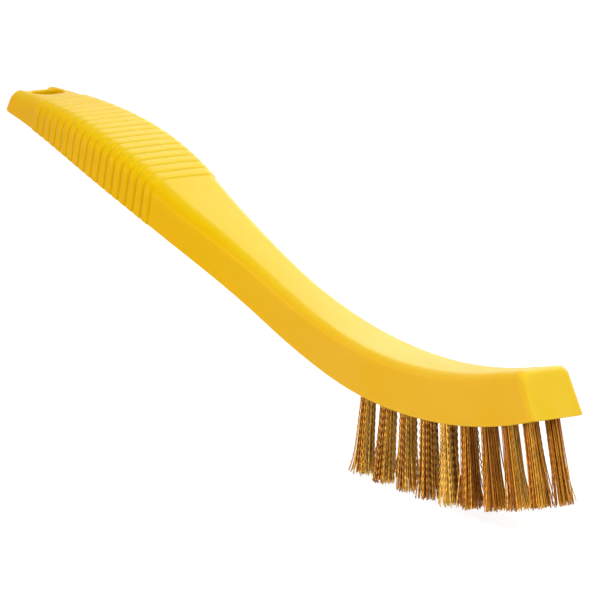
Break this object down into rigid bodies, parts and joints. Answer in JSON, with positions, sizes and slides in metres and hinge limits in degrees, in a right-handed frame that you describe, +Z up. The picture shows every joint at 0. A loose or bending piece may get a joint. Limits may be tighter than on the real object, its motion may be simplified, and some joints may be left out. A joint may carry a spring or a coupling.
{
  "type": "hand scrub brush",
  "caption": "Hand scrub brush with a curved ribbed handle, a hanging hole and rows of crimped wire tufts anchored in a narrow head.",
  "frame": {"origin": "middle of the brush's length and width, on the floor under the trimmed bristle tips", "axes": "+X runs from the handle's tail to the nose of the head, +Y across the two rows of tufts, +Z up, along the moulding's draw"},
  "size_m": [0.2222, 0.0286, 0.0733],
  "materials": {
    "handle_plastic": "satin moulded polypropylene",
    "brass_wire": "crimped drawn wire",
    "anchor_wire": "flat rolled wire"
  },
  "bodies": {
    "root": {"handle": "handle_plastic", "tuft_left_1": "brass_wire", "anchor_left_1": "anchor_wire", "tuft_left_2": "brass_wire", "anchor_left_2": "anchor_wire", "tuft_left_3": "brass_wire", "anchor_left_3": "anchor_wire", "tuft_left_4": "brass_wire", "anchor_left_4": "anchor_wire", "tuft_left_5": "brass_wire", "anchor_left_5": "anchor_wire", "tuft_left_6": "brass_wire", "anchor_left_6": "anchor_wire", "tuft_left_7": "brass_wire", "anchor_left_7": "anchor_wire", "tuft_left_8": "brass_wire", "anchor_left_8": "anchor_wire", "tuft_left_9": "brass_wire", "anchor_left_9": "anchor_wire", "tuft_right_1": "brass_wire", "anchor_right_1": "anchor_wire", "tuft_right_2": "brass_wire", "anchor_right_2": "anchor_wire", "tuft_right_3": "brass_wire", "anchor_right_3": "anchor_wire", "tuft_right_4": "brass_wire", "anchor_right_4": "anchor_wire", "tuft_right_5": "brass_wire", "anchor_right_5": "anchor_wire", "tuft_right_6": "brass_wire", "anchor_right_6": "anchor_wire", "tuft_right_7": "brass_wire", "anchor_right_7": "anchor_wire", "tuft_right_8": "brass_wire", "anchor_right_8": "anchor_wire", "tuft_right_9": "brass_wire", "anchor_right_9": "anchor_wire"}
  },
  "joints": []
}
